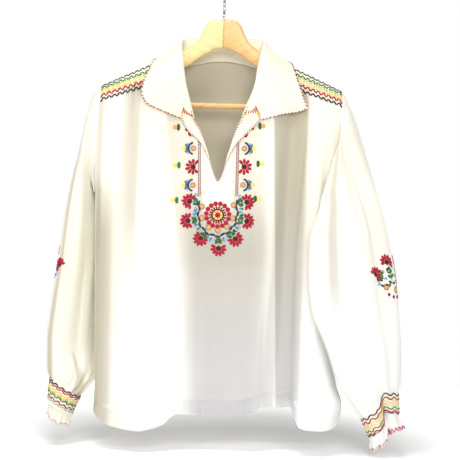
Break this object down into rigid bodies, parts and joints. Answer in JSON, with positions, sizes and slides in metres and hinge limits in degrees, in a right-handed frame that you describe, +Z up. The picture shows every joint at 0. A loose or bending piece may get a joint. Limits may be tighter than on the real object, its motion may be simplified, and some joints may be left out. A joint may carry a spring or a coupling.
{
  "type": "embroidered blouse on a wooden hanger",
  "caption": "Ivory folk blouse with smocked shoulders and cuffs, long full sleeves, a wide turned-down collar and an embroidered slit neck, hung on a wooden hanger",
  "frame": {"origin": "the inside top of the hanger's hook, where the hook rests on a rail", "axes": "+Z up; the blouse's front faces -Y; +X is to the right as seen from the front, and the rail runs along X"},
  "size_m": [0.6327, 0.1718, 0.8035],
  "materials": {
    "ivory_cloth": "sheer soft weave",
    "embroidered_bands": "smocked, stitched with coloured thread",
    "pale_wood": "satin",
    "warm_wood": "satin",
    "hook_steel": "bright"
  },
  "bodies": {
    "root": {"front": "ivory_cloth", "back": "ivory_cloth", "collar": "ivory_cloth", "lapel_left": "ivory_cloth", "lapel_right": "ivory_cloth", "sleeve_left": "ivory_cloth", "sleeve_right": "ivory_cloth", "ruffle_left": "ivory_cloth", "ruffle_right": "ivory_cloth", "yoke_left": "embroidered_bands", "yoke_right": "embroidered_bands", "cuff_left": "embroidered_bands", "cuff_right": "embroidered_bands", "hanger_arm_left": "pale_wood", "hanger_bar": "pale_wood", "hanger_arm_right": "warm_wood", "hanger_hook": "hook_steel"}
  },
  "joints": []
}
